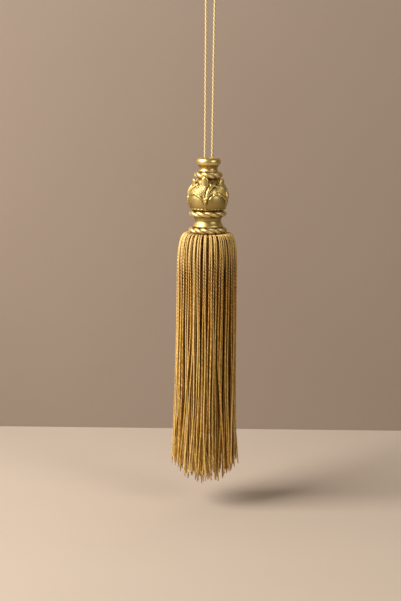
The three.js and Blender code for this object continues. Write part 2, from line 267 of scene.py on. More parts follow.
# Runs of the turned profile, as radius and depth: smooth along each, and sharp from one to the next.
HEAD_RUNS = [
    ("bore floor", [(0.02, 5.4), (2.7, 5.4)]),
    ("bore wall", [(2.75, 5.35), (2.75, 0.1)]),
    ("lip", [(2.85, 0.0), (4.6, 0.0), (5.25, 0.18), (5.75, 0.7), (6.02, 1.4), (6.05, 2.1), (5.9, 2.75),
             (5.55, 3.3)]),
    ("under the lip", [(5.4, 3.38), (5.15, 3.5), (5.1, 3.75), (4.75, 4.15), (4.5, 4.6), (4.4, 5.0),
                       (4.48, 5.5)]),
    ("bead", [(4.52, 5.7), (4.72, 5.9), (4.82, 6.25), (4.75, 6.55), (4.55, 6.78)]),
    ("collar seat", [(3.95, 6.88), (3.9, 8.3), (3.95, 9.85)]),
    ("bulb", [(5.55, BULB_TOP), (6.3, 11.6), (7.35, 13.0), (8.55, 14.8), (9.3, 16.8), (9.75, 19.0),
              (9.75, 21.2), (9.35, 23.2), (8.6, 24.7), (7.5, BULB_BOTTOM)]),
    ("waist seat", [(6.3, 26.0), (6.25, 27.3), (6.3, 28.6)]),
    ("waist", [(6.95, 28.7), (7.15, 28.95), (6.9, 29.3), (6.65, 29.9), (6.5, 30.7), (6.6, 31.5), (7.0, 32.3),
               (7.45, 33.0), (7.58, 33.5), (7.4, 33.88)]),
    ("foot", [(6.4, 34.6), (6.35, 35.4), (6.35, 36.5)]),
    ("foot face", [(6.3, 36.55), (0.02, 36.55)]),
]
# A leaf lies on the bulb above a scalloped edge and below a lobed one: degrees round the bulb from its stem,
# and shares of the bulb's height. Its lower edge fades out to the left of the stem and is crisp to the right.
LEAVES = 5
FRONT_TURN = -5.0
LEAF_THICK = 0.4
LOWER_EDGE = [(-36, 0.56), (-28, 0.545), (-21, 0.49), (-12, 0.4), (-5, 0.31), (-2, 0.27), (2, 0.27),
              (4, 0.32), (8, 0.41), (14, 0.48), (21, 0.53), (28, 0.56), (36, 0.56)]
UPPER_EDGE = [(-36, 0.8), (-31, 0.85), (-26, 0.92), (-21, 0.9), (-16, 0.95), (-12, 0.93), (-7, 1.02),
              (-2, 0.98), (2, 0.84), (7, 0.83), (13, 0.88), (18, 0.82), (24, 0.85), (30, 0.8), (36, 0.78)]
CRISP_FROM, FADED_EDGE, CRISP_EDGE, UPPER_EDGE_FADE = -3, 1.2, 0.3, 0.35
# Lines of a leaf's carving through root, bend and tip, with widths and heights in millimetres.
RIDGES = [
    # turns, rises, half width, height
    ((-1, -1, -1), (0.0, 0.16, 0.34), 0.6, 0.5),
    ((-1, -4, -7), (0.28, 0.66, 1.0), 1.3, 0.95),
    ((-1, -13, -42), (0.27, 0.49, 0.58), 0.5, 0.7),
    ((1, 2, 13), (0.4, 0.74, 0.9), 0.8, 0.7),
    ((1, 4, 29), (0.36, 0.72, 0.87), 0.7, 0.75),
    ((2, 6, 30), (0.22, 0.49, 0.57), 0.45, 0.75),
    ((14, 27, 45), (0.86, 0.85, 0.77), 0.55, 0.85),
]
GROOVES = [
    # turns, rises, half width, depth
    ((-4, -4, 7), (0.46, 0.74, 0.84), 0.45, 0.95),
    ((2, -1, 18), (0.0, 0.45, 0.53), 0.4, 0.9),
    ((-3, -16, -40), (0.34, 0.53, 0.63), 0.25, 0.35),
    ((3, 9, 28), (0.46, 0.68, 0.8), 0.3, 0.4),
]
CARVED_LINE_SAMPLES = 40
# The smooth swelling of a leaf's left half, which fine slanting veins cross.
SWELLING_TURN, SWELLING_HALF_TURN = -21.0, 26.0
SWELLING_RISE, SWELLING_HALF_RISE = 0.68, 0.22
SWELLING_HEIGHT = 1.05
VEIN_SPACING, VEIN_DEPTH, VEIN_LEAN = 1.25, 0.15, 0.9
# A fine row of beads round the bulb's base.
BASE_BEADS, BASE_BEAD_HEIGHT, BASE_BEAD_HALF, BASE_BEAD_NOTCH = 25, 0.55, 0.5, 0.3
# Curled leaf tips from root to point, and for each leaf its tip's turn in degrees and its lift. The front tip
# is lifted over the collar rope.
TIP_ROWS = [
    # depth, radius, width, thickness
    (13.8, 7.6, 3.6, 1.8),
    (12.4, 7.65, 3.7, 1.65),
    (11.2, 7.75, 3.5, 1.5),
    (10.6, 7.85, 3.0, 1.4),
    (10.2, 7.92, 2.1, 1.1),
    (10.0, 7.95, 0.9, 0.5),
]
TIPS = [(-8.0, 1.3), (-6.0, 0.0), (0.0, 0.0), (0.0, 0.0), (10.0, 0.0)]
TIP_SIDES, TIP_SPACING = 16, 0.2
# How much painted shade, in brown, lies at the upper and lower ends of some runs: under the lip, by the
# ropes and at the bulb's ends.
RUN_PAINTED_SHADE = {
    "under the lip": (0.8, 0.5),
    "collar seat": (0.45, 0.45),
    "bulb": (0.35, 0.8),
    "waist seat": (0.5, 0.5),
    "waist": (0.8, 0.0),
    "foot": (0.9, 0.9),
}
# On the bulb painted shade fills hollows, gathers below one depth and, on what isn't proud, above another,
# and draws a painted shadow line just under the collar rope. The row of base beads gets half of it.
FULL_HOLLOW = 0.25
LOWER_SHADE_FROM, LOWER_SHADE_POWER = 18.5, 0.6
UPPER_SHADE_FROM, PROUD = 13.5, 0.3
COLLAR_SHADOW, COLLAR_SHADOW_DEPTHS = 0.6, (11.6, 10.9)
BASE_BEAD_SHADE = 0.5


def share_between(value, start, end):
    """How much of the way from start to end a value has gone, from 0 to 1."""
    return np.clip((value - start) / (end - start), 0, 1)


def round_over(off_squared):
    """A round section: 1 in its middle and 0 at its edge, by squared distances in half widths."""
    return np.sqrt(np.clip(1 - off_squared, 0, None))


def off_line(turn, rise, radius, turns, rises):
    """How far each point of the bulb lies from a curved line of the carving, in millimetres."""
    nearest = np.full_like(turn, np.inf)
    for share in np.linspace(0, 1, CARVED_LINE_SAMPLES):
        mix = ((1 - share) ** 2, 2 * share * (1 - share), share**2)
        x = np.radians(turn - np.dot(mix, turns)) * radius
        y = (rise - np.dot(mix, rises)) * BULB_TALL
        nearest = np.minimum(nearest, np.hypot(x, y))
    return nearest


def leaf_relief(turn, rise, radius):
    """How far the carving stands off the bulb, by degrees from the nearest stem and shares of its height."""
    above = (rise - np.interp(turn, *zip(*LOWER_EDGE))) * BULB_TALL
    below = (np.interp(turn, *zip(*UPPER_EDGE)) - rise) * BULB_TALL
    under_upper_edge = share_between(below, 0, UPPER_EDGE_FADE)
    over_lower_edge = share_between(above, 0, np.where(turn < CRISP_FROM, FADED_EDGE, CRISP_EDGE))
    relief = LEAF_THICK * (over_lower_edge * under_upper_edge)
    each_leaf = [turn - 360 / LEAVES, turn, turn + 360 / LEAVES]
    for from_stem in each_leaf:
        off_squared = ((from_stem - SWELLING_TURN) / SWELLING_HALF_TURN) ** 2
        off_squared = off_squared + ((rise - SWELLING_RISE) / SWELLING_HALF_RISE) ** 2
        across_veins = np.radians(from_stem) * radius + VEIN_LEAN * rise * BULB_TALL
        veins = VEIN_DEPTH * np.cos(2 * np.pi * across_veins / VEIN_SPACING)
        swelling = (SWELLING_HEIGHT + veins) * round_over(off_squared)
        relief = np.maximum(relief, swelling * under_upper_edge)
        for turns, rises, half_wide, height in RIDGES:
            off = off_line(from_stem, rise, radius, turns, rises) / half_wide
            relief = np.maximum(relief, height * round_over(off**2))
    for from_stem in each_leaf:
        for turns, rises, half_wide, deep in GROOVES:
            off = off_line(from_stem, rise, radius, turns, rises) / half_wide
            relief = relief - deep * np.exp(-(off**2))
    bead = 1 - BASE_BEAD_NOTCH + BASE_BEAD_NOTCH * np.cos(np.radians(turn) * BASE_BEADS)
    off = (rise * BULB_TALL - BASE_BEAD_HALF) / BASE_BEAD_HALF
    return np.maximum(relief, BASE_BEAD_HEIGHT * bead * round_over(off**2))


profile, in_bulb, run_shade = [], [], []
for run, rows in HEAD_RUNS:
    line = smooth_line(rows, ROW_SPACING)
    profile.append(line)
    in_bulb.append(np.full((len(line), 1), run == "bulb"))
    first, last = RUN_PAINTED_SHADE.get(run, (0, 0))
    run_shade.append(np.linspace(first, last, len(line))[:, None])
profile, in_bulb, run_shade = np.vstack(profile), np.vstack(in_bulb), np.vstack(run_shade)
azimuth = 2 * np.pi * np.arange(ROUND_STEPS) / ROUND_STEPS
radius = np.repeat(profile[:, :1], ROUND_STEPS, axis=1)
depth = np.repeat(profile[:, 1:], ROUND_STEPS, axis=1)
from_front = np.degrees(azimuth) - FRONT_TURN
turn = from_front - 360 / LEAVES * np.round(from_front * LEAVES / 360)
bulb_rows = np.flatnonzero(in_bulb)
rise = (BULB_BOTTOM - depth[bulb_rows]) / BULB_TALL
carving = np.zeros_like(radius)
carving[bulb_rows] = leaf_relief(np.broadcast_to(turn, rise.shape).copy(), rise, radius[bulb_rows])
radius = radius + carving

# A hollow is where the surface lies below its surroundings, which are averaged over wider and wider steps.
# Painted shade fills the hollows and the shaded places named above; nearly everywhere else there is none.
around = carving.copy()
for shift in (1, 2, 4):
    for axis in (1, 0):
        around = (around + np.roll(around, shift, axis) + np.roll(around, -shift, axis)) / 3
hollow = np.where(in_bulb, share_between(around - carving, 0, FULL_HOLLOW), 0)
# A painted shadow line just under the collar rope.
hollow = np.maximum(hollow, np.where(in_bulb, COLLAR_SHADOW * share_between(depth, *COLLAR_SHADOW_DEPTHS), 0))
lower_shade = share_between(depth, LOWER_SHADE_FROM, BULB_BOTTOM) ** LOWER_SHADE_POWER
upper_shade = share_between(depth, UPPER_SHADE_FROM, BULB_TOP) * share_between(carving, PROUD, 0)
# Painted shade also gathers at the shaded ends of runs and towards the bulb's lower and upper ends.
hollow = np.maximum(hollow, run_shade * np.where(in_bulb, np.maximum(lower_shade, upper_shade), 1))
# The base beads get painted shade at half strength.
on_base_beads = rise * BULB_TALL < 2 * BASE_BEAD_HALF
hollow[bulb_rows] = np.where(on_base_beads, BASE_BEAD_SHADE, hollow[bulb_rows])

head_places = np.stack([radius * np.sin(azimuth), -radius * np.cos(azimuth), HEAD_TOP - depth], axis=-1)
head_places = head_places.reshape(-1, 3)
head_faces = tube_faces(len(profile), ROUND_STEPS)

upward = np.array([0.0, 0.0, 1.0])
tip_depth, tip_radius, tip_wide, tip_thick = smooth_line(TIP_ROWS, TIP_SPACING).T[..., None]
tip_round = 2 * np.pi * np.arange(TIP_SIDES) / TIP_SIDES
for leaf, (tip_turn, tip_lift) in enumerate(TIPS):
    lean = math.radians(FRONT_TURN + tip_turn + 360 / LEAVES * leaf)
    outward = np.array([math.sin(lean), -math.cos(lean), 0.0])
    sideways = np.array([math.cos(lean), math.sin(lean), 0.0])
    lift = tip_lift * np.linspace(0, 1, len(tip_depth))[:, None]
    spine = outward * tip_radius + upward * (HEAD_TOP - tip_depth + lift)
    facing = np.cross(sideways, unit(np.gradient(spine, axis=0)))
    tongue = spine[:, None] + sideways * (tip_wide / 2 * np.sin(tip_round))[..., None]
    tongue = tongue + facing[:, None] * (tip_thick / 2 * np.cos(tip_round))[..., None]
    head_faces += tube_faces(len(spine), TIP_SIDES, start=len(head_places))
    head_places = np.vstack([head_places, tongue.reshape(-1, 3)])
hollow = np.r_[hollow.ravel(), np.zeros(len(head_places) - hollow.size)]

# Antique gilding on a moulding: pale satin gold on all that is proud, painted shade in brown in hollows and
# shaded places, and an uneven lay in patches of 1.2 mm. Its grain is drawn at 0.35 mm, coarser than the
# real one, to show.
GILDING_PATCH, GILDING_GRAIN = 1.2, 0.35
gilding, tree, surface = new_material("antique_gilding")
where = add_node(tree, "TexCoord").outputs["Object"]
cloud = add_node(
    tree, "TexNoise", {"Vector": where, "Scale": 1 / (GILDING_PATCH * MM), "Detail": 4.0}
).outputs["Fac"]
grain = add_node(
    tree, "TexNoise", {"Vector": where, "Scale": 1 / (GILDING_GRAIN * MM), "Detail": 2.0}
).outputs["Fac"]
hollows = add_node(tree, "Attribute", attribute_name="hollow").outputs["Fac"]
gold_tone = add_node(
    tree, "Mix", {0: cloud, 6: linear("#ceb66c"), 7: linear("#dfcb8a")}, data_type="RGBA"
).outputs[2]
# Painted shade mixes the gold toward brown.
gilt_tone = add_node(
    tree, "Mix", {0: hollows, 6: gold_tone, 7: linear("#70500a")}, data_type="RGBA"
).outputs[2]
gilt_rough = add_node(
    tree, "MapRange", {"Value": cloud, "From Min": 0.3, "From Max": 0.7, "To Min": 0.36, "To Max": 0.44}
).outputs[0]
gilt_bump = add_node(tree, "Bump", {"Height": grain, "Strength": 0.12, "Distance": 0.06 * MM}).outputs[0]
gilt_shader = add_node(
    tree,
    "BsdfPrincipled",
    {
        "Base Color": gilt_tone,
        "Metallic": 0.95,
        "Roughness": gilt_rough,
        "Coat Weight": 0.12,
        "Coat Roughness": 0.3,
        "Normal": gilt_bump,
    },
)
tree.links.new(gilt_shader.outputs[0], surface.inputs[0])

make_piece("gilt_head", head_places, head_faces, gilding, slot="gilt", node="head", hollow=hollow)


# Rope rings
# Three lengths of stiff two-ply rope, gilt with the head, closed into rings and laid in the grooves at the
# collar, under the bulb, and round the foot, where the last one hides the skirt's heading.
ROPE_SIDES, ROPE_STEPS, ROPE_PLY_OFFSET = 28, 260, 0.33
ROPE_RINGS = [
    # node, depth of the ring's middle, radius to the rope's middle, rope width, turns of the plies
    ("collar_rope", 8.35, 5.55, 3.1, 4),
    ("waist_rope", 27.35, 7.95, 2.8, 5),
    ("foot_rope", 35.55, 8.05, 3.0, 6),
]

# Gilding on rope: the same gold, a little drier, with painted shade in brown in the groove between the
# plies. The rope's threads show through it as low ridges, drawn 0.6 mm wide, coarser than real ones.
ROPE_GILDING_PATCH = 1.0
ROPE_THREAD_WIDE, ROPE_THREAD_LONG = 0.6, 4.0
rope_gilding, tree, surface = new_material("gilding_on_rope")
where = add_node(tree, "TexCoord").outputs["Object"]
cloud = add_node(
    tree, "TexNoise", {"Vector": where, "Scale": 1 / (ROPE_GILDING_PATCH * MM), "Detail": 4.0}
).outputs["Fac"]
fibre = add_node(tree, "Attribute", attribute_name="fibre").outputs["Vector"]
threads_per_mm = (1 / ROPE_THREAD_WIDE, 1 / ROPE_THREAD_WIDE, 1 / ROPE_THREAD_LONG)
along = add_node(tree, "VectorMath", {0: fibre, 1: threads_per_mm}, operation="MULTIPLY").outputs["Vector"]
thread = add_node(tree, "TexNoise", {"Vector": along, "Scale": 1.0, "Detail": 2.0}).outputs["Fac"]
groove = add_node(tree, "Attribute", attribute_name="groove").outputs["Fac"]
groove_share = add_node(tree, "Math", {0: groove, 1: 4.0}, operation="POWER").outputs[0]
gold_tone = add_node(
    tree, "Mix", {0: cloud, 6: linear("#cfb672"), 7: linear("#e2cd94")}, data_type="RGBA"
).outputs[2]
# Painted shade in the groove between the plies.
rope_tone = add_node(
    tree, "Mix", {0: groove_share, 6: gold_tone, 7: linear("#5e4210")}, data_type="RGBA"
).outputs[2]
rope_bump = add_node(tree, "Bump", {"Height": thread, "Strength": 0.2, "Distance": 0.08 * MM}).outputs[0]
rope_shader = add_node(
    tree,
    "BsdfPrincipled",
    {"Base Color": rope_tone, "Metallic": 0.85, "Roughness": 0.45, "Normal": rope_bump},
)
tree.links.new(rope_shader.outputs[0], surface.inputs[0])

angle, reach, groove_depth = two_ply(ROPE_SIDES, ROPE_PLY_OFFSET)
azimuth = 2 * np.pi * np.arange(ROPE_STEPS) / ROPE_STEPS
outward = np.stack([np.cos(azimuth), np.sin(azimuth), np.zeros(ROPE_STEPS)], axis=1)
rope_faces = [face[::-1] for face in tube_faces(ROPE_STEPS, ROPE_SIDES, closed=True)]
for node, depth, radius, wide, turns in ROPE_RINGS:
    middle = outward * radius + upward * (HEAD_TOP - depth)
    spread = wide / 2 * reach
    rings = rings_round(middle, outward, upward, spread, -turns * azimuth[:, None] + angle)
    make_piece(
        "gilt_" + node,
        rings,
        rope_faces,
        rope_gilding,
        slot="gilt_rope",
        node=node,
        fibre=yarn_places(spread, angle, azimuth * radius),
        groove=np.broadcast_to(groove_depth, rings.shape[:2]),
    )


# Skirt
# 235 strands of two-ply viscose, sewn in pairs to a padded heading under the foot, over whose shoulder they
# fall to an uneven, slightly domed hem. Their twist is tight under the foot and slackens on the way down.
Layer = namedtuple("Layer", "strands radius flare wide sides sections twist dimness over_shoulder")
# The outer strands' twist is drawn coarser than the real one, so that it shows.
# A layer's dimness is the painted shade that the layers over it cast on it.
LAYERS = [
    # strands, radius, flare at the hem, strand width, sides, sections, one twist, dimness, over the shoulder
    Layer(66, 14.5, 1.1, 0.84, 8, 320, 3.4, 0.0, True),
    Layer(70, 13.1, 1.0, 0.85, 6, 220, 3.6, 0.9, True),
    Layer(44, 11.7, 0.5, 1.0, 6, 60, 12.0, 1.0, True),
    Layer(28, 9.4, 0.4, 1.1, 6, 40, 20.0, 1.0, False),
    Layer(18, 6.6, 0.3, 1.1, 6, 40, 20.0, 1.0, False),
    Layer(9, 3.4, 0.2, 1.1, 6, 40, 20.0, 1.0, False),
]
INNER_LAYERS = ("second", "third", "outer_core", "middle_core", "inner_core")
# Strands are numbered on from 0 in the outer layer, from 100 in the second, and so on.
NUMBERS_A_LAYER = 100
# The outer layer's way over the shoulder, as radius and depth. The layers under it lie one pitch lower each,
# and those of the core hang straight from the heading.
SHOULDER_ROWS = [
    (7.6, 39.5),
    (9.0, 38.4),
    (10.2, 37.4),
    (11.6, 37.5),
    (12.8, 39.2),
    (13.65, 42.0),
    (14.25, 46.0),
    (14.5, 51.0),
]
SHOULDER_SPACING = 0.1
LAYER_PITCH = 1.5
CORE_ROOT, CORE_STRAIGHT = 43.0, 2.0
# The hem: depths at its rim and middle, the power of its dome, and how unevenly it is cut.
HEM_RIM, HEM_MIDDLE, HEM_DOME, HEM_SCATTER = 155.0, 163.0, 0.7, 2.3
HEM_SHORT_AT_SIDES = 3.2
# Strands lean to their partners and off an even spacing by these shares of it. Both ease off between two
# distances from the root, counted in lengths of the shoulder.
PAIRING, PAIRING_KEPT, PAIRING_EASES = 0.34, 0.2, (1.5, 0.6)
ROOT_SCATTER, GATHERING_EASES = 0.45, (2.8, 1.0)
# Then a strand settles a little below its layer, or in one case of four above it, shifts aside, and sways.
SETTLE_OVER = 30.0
REACH_SCATTER, REACH_SUNK, REACH_EASES = 1.6, 0.75, (0.4, 1.4)
SIDE_SCATTER, SIDE_EARLY, SIDE_EASES = 0.45, 0.4, (0.3, 1.3)
SWAY, SWAY_TURNS = 0.25, 1.4
# From some share of its fall it drifts across its neighbours, and some strands stray further and stand out.
# Towards the hem they also part in and out, so that the skirt opens.
DRIFT, DRIFT_FROM, DRIFT_FROM_SCATTER, DRIFT_POWER = 7.0, 0.3, 0.45, 1.4
STRAYING, STRAY_FAR, STRAY_NEAR, STRAY_OUT = 0.45, 1.7, 0.6, 0.6
OPEN_FROM, OPEN_OUT, OPEN_SCATTER = 0.35, 0.5, 2.0
# The twist: how tight at the top, how that slackens, and how much a strand's own differs.
STRAND_PLY_OFFSET = 0.4
TIGHT_TOP, TIGHT_LOSS, TIGHT_SCATTER, TIGHT_LEAST = 1.3, 1.7, 0.4, 0.28
TIGHT_AT_ROOT, TIGHT_EASES = 0.4, (0.2, 1.2)
TWIST_LEAST, TWIST_SCATTER = 0.85, 0.3
# A strand thins on its way, is pressed by its neighbours where they crowd, and is drawn in at its cut end.
THINNING, CROWDING, END_TAPER, END_TAPER_OVER = 0.3, 0.96, 0.25, 1.0
# Painted shade darkens the gaps: grooves between plies, most where one faces out, flanks between strands,
# and lower layers.
GROOVE_POWER, GROOVE_FACING_OUT = 1.5, 0.9
FLANK_MIDDLE, FLANK_RISE, FLANK_MOST = 0.4, 0.9, 0.95
DIM_TOP, DIM_FULL_AT, DIM_CLEARS, DIM_TIP_CLEARS, DIM_TIP_FROM = 0.8, 0.3, 0.9, 0.1, 0.88
# Painted light lightens strands over the shoulder, apart from the olive ones. Crowns of the plies and cut
# ends get a painted highlight.
SHOULDER_PAINTED_LIGHT, SHOULDER_PAINTED_LIGHT_OVER, OLIVE_FROM = 0.3, 25.0, 0.85
PALE_SHOULDER, PALE_SHOULDER_OVER, PALE_PLY = 0.32, 12.0, 0.28
PALE_END, PALE_END_OVER = 0.5, 2.5
# Each strand takes its fibres from another place in the pattern.
YARN_STEP = (3.1, 1.7, 0.0)
# The padded heading, as radius and depth.
HEADING_ROWS = [(0.02, 36.85), (5.9, 36.85), (7.2, 37.7), (8.5, 38.5), (8.6, 41.0), (8.4, 44.0), (0.02, 44.0)]
HEADING_STEPS, HEADING_SPACING = 64, 0.8
# The heading gets painted shade at the first share, as it lies in the skirt's shadow, and a yarn tone at the
# second.
HEADING_PAINTED_SHADE, HEADING_SHADE = 0.7, 0.2
# What is drawn by chance for a strand, each with a number that sets it apart.
DRAWS = {
    "cut": 1,
    "flare": 2,
    "drift": 3,
    "sinking": 4,
    "leaving": 5,
    "phase": 6,
    "root": 7,
    "shade": 9,
    "slackness": 10,
    "side": 11,
    "openness": 13,
    "twist": 14,
    "sway": 15,
    "straying": 16,
    "pair": 17,
}

# Satin viscose yarn in old gold: each strand a shade of its own between ochre, champagne and olive, streaked
# by lit fibres, lightened by painted light over the shoulder, with painted highlights on crowns and cut ends,
# and painted shade in brown with little shine in the gaps.
# The fibres are drawn 0.33 mm wide, coarser than real ones, so that they show.
YARN_FIBRE_WIDE, YARN_FIBRE_LONG = 0.33, 4.5
skirt_yarn, tree, surface = new_material("old_gold_viscose_yarn")
fibre = add_node(tree, "Attribute", attribute_name="fibre").outputs["Vector"]
groove = add_node(tree, "Attribute", attribute_name="groove").outputs["Fac"]
shade = add_node(tree, "Attribute", attribute_name="shade").outputs["Fac"]
pale = add_node(tree, "Attribute", attribute_name="pale").outputs["Fac"]
fibres_per_mm = (1 / YARN_FIBRE_WIDE, 1 / YARN_FIBRE_WIDE, 1 / YARN_FIBRE_LONG)
along = add_node(tree, "VectorMath", {0: fibre, 1: fibres_per_mm}, operation="MULTIPLY").outputs["Vector"]
strand_noise = add_node(tree, "TexNoise", {"Vector": along, "Scale": 1.0, "Detail": 3.0}).outputs["Fac"]
shade_ramp = add_node(tree, "ValToRGB", {0: shade})
stops = shade_ramp.color_ramp.elements
for place, colour in ((0.3, "#aa7c10"), (0.55, "#bc9028"), (0.8, "#d0b878")):
    stops.new(place).color = linear(colour)
stops[0].color, stops[-1].color = linear("#946800"), linear("#a0841c")
lit_share = add_node(
    tree,
    "MapRange",
    {"Value": strand_noise, "From Min": 0.43, "From Max": 0.62, "To Min": 0.0, "To Max": 0.9},
).outputs[0]
lit_tone = add_node(
    tree, "Mix", {0: lit_share, 6: shade_ramp.outputs[0], 7: linear("#f6d688")}, data_type="RGBA"
).outputs[2]
# Painted highlight on the shoulder, ply crowns and cut ends, mixed in as pale straw.
crown_tone = add_node(
    tree, "Mix", {0: pale, 6: lit_tone, 7: linear("#f2e2a4")}, data_type="RGBA"
).outputs[2]
groove_share = add_node(tree, "Math", {0: groove, 1: 0.95}, operation="MULTIPLY").outputs[0]
# Painted shade in the gaps, from orange brown to deep brown.
gap_ramp = add_node(tree, "ValToRGB", {0: groove})
stops = gap_ramp.color_ramp.elements
stops[0].position = 0.5
stops[0].color, stops[1].color = linear("#a86000"), linear("#6a3800")
yarn_tone = add_node(
    tree, "Mix", {0: groove_share, 6: crown_tone, 7: gap_ramp.outputs[0]}, data_type="RGBA"
).outputs[2]
yarn_shine = add_node(tree, "MapRange", {"Value": groove, "To Min": 0.7, "To Max": 0.1}).outputs[0]
yarn_bump = add_node(
    tree, "Bump", {"Height": strand_noise, "Strength": 0.15, "Distance": 0.1 * MM}
).outputs[0]
yarn_shader = add_node(
    tree,
    "BsdfPrincipled",
    {
        "Base Color": yarn_tone,
        "Roughness": 0.36,
        "Specular IOR Level": yarn_shine,
        "Specular Tint": linear("#ffdc94"),
        "Normal": yarn_bump,
    },
)
tree.links.new(yarn_shader.outputs[0], surface.inputs[0])


def scatter(number, draw):
    """A repeatable chance value from 0 to 1 for each strand's number, by a common hash made of a sine."""
    wave = np.sin(number * 12.9898 + DRAWS[draw] * 78.233) * 43758.5453
    return wave - np.floor(wave)


def strand_ways(order):
    """Middle lines of a layer's strands, with how far along, down and round each of their points lies."""
    layer = LAYERS[order]
    strand = np.arange(layer.strands)[:, None]
    number = NUMBERS_A_LAYER * order + strand
    pitch = 2 * np.pi / layer.strands

    # Length of each strand, and where along it each section lies.
    outness = (layer.radius / LAYERS[0].radius) ** 2
    end = HEM_RIM + (HEM_MIDDLE - HEM_RIM) * (1 - outness) ** HEM_DOME
    end = end + HEM_SCATTER * (2 * scatter(number, "cut") - 1)
    end = end - HEM_SHORT_AT_SIDES * outness * np.cos(pitch * strand) ** 2
    root, crest = SHOULDER_ROWS[0][0], SHOULDER_ROWS[-1][0]
    if layer.over_shoulder:
        narrowing = (layer.radius - root) / (crest - root)
        rows = [(root + (r - root) * narrowing, d + LAYER_PITCH * order) for r, d in SHOULDER_ROWS]
        shoulder = smooth_line(rows, SHOULDER_SPACING)
    else:
        start = min(layer.radius, root)
        shoulder = np.array([(start, CORE_ROOT), (start, CORE_ROOT + CORE_STRAIGHT)])
    over = run_along(shoulder)
    length = over[-1] + end - shoulder[-1, 1]
    run = length * np.linspace(0, 1, layer.sections)
    fall = np.clip(run - over[-1], 0, None)
    share = fall / (length - over[-1])
    from_root = run / over[-1]

    # How far out and down it goes: over the shoulder, then with a little flare, and open towards the hem.
    settle = share_between(fall, 0, SETTLE_OVER)
    reach = np.interp(run, over, shoulder[:, 0])
    reach = reach + (layer.radius - shoulder[-1, 0]) * (3 * settle**2 - 2 * settle**3)
    reach = reach + layer.flare * (1 + scatter(number, "flare") ** 2) * share**2
    sinking = REACH_SCATTER * (scatter(number, "sinking") - REACH_SUNK)
    reach = reach + sinking * share_between(from_root, *REACH_EASES)
    straying = np.where(scatter(number, "straying") < STRAYING, STRAY_FAR, STRAY_NEAR)
    drift_from = DRIFT_FROM + DRIFT_FROM_SCATTER * scatter(number, "leaving")
    drift = share_between(share, drift_from, 1) ** DRIFT_POWER
    reach = reach + STRAY_OUT * straying * drift
    opening = OPEN_OUT - OPEN_SCATTER * scatter(number, "openness")
    reach = reach + opening * share_between(share, OPEN_FROM, 1)
    depth = np.interp(run, over, shoulder[:, 1]) + fall

    # How far round it lies: gathered at the root, then with a little shift, sway and drift.
    paired = PAIRING * np.where(strand % 2, -1, 1) * scatter(number // 2, "pair")
    paired = paired * np.maximum(share_between(from_root, *PAIRING_EASES), PAIRING_KEPT)
    gathered = paired + ROOT_SCATTER * (scatter(number, "root") - 0.5)
    gathered = gathered * share_between(from_root, *GATHERING_EASES)
    aside = SIDE_SCATTER * (scatter(number, "side") - 0.5) * share_between(from_root, *SIDE_EASES)
    aside = aside * (SIDE_EARLY + (1 - SIDE_EARLY) * settle)
    aside = aside + SWAY * np.sin(2 * np.pi * (SWAY_TURNS * share + scatter(number, "sway"))) * settle
    aside = aside + DRIFT * straying * (scatter(number, "drift") - 0.5) * drift
    angle = pitch * (strand + 0.5 * (order % 2) + gathered) + aside / reach
    return SimpleNamespace(
        number=number,
        run=run,
        to_end=length - run,
        fall=fall,
        share=share,
        from_root=from_root,
        angle=angle,
        room=pitch * reach,
        lines=np.stack([reach * np.cos(angle), reach * np.sin(angle), HEAD_TOP - depth], axis=-1),
    )


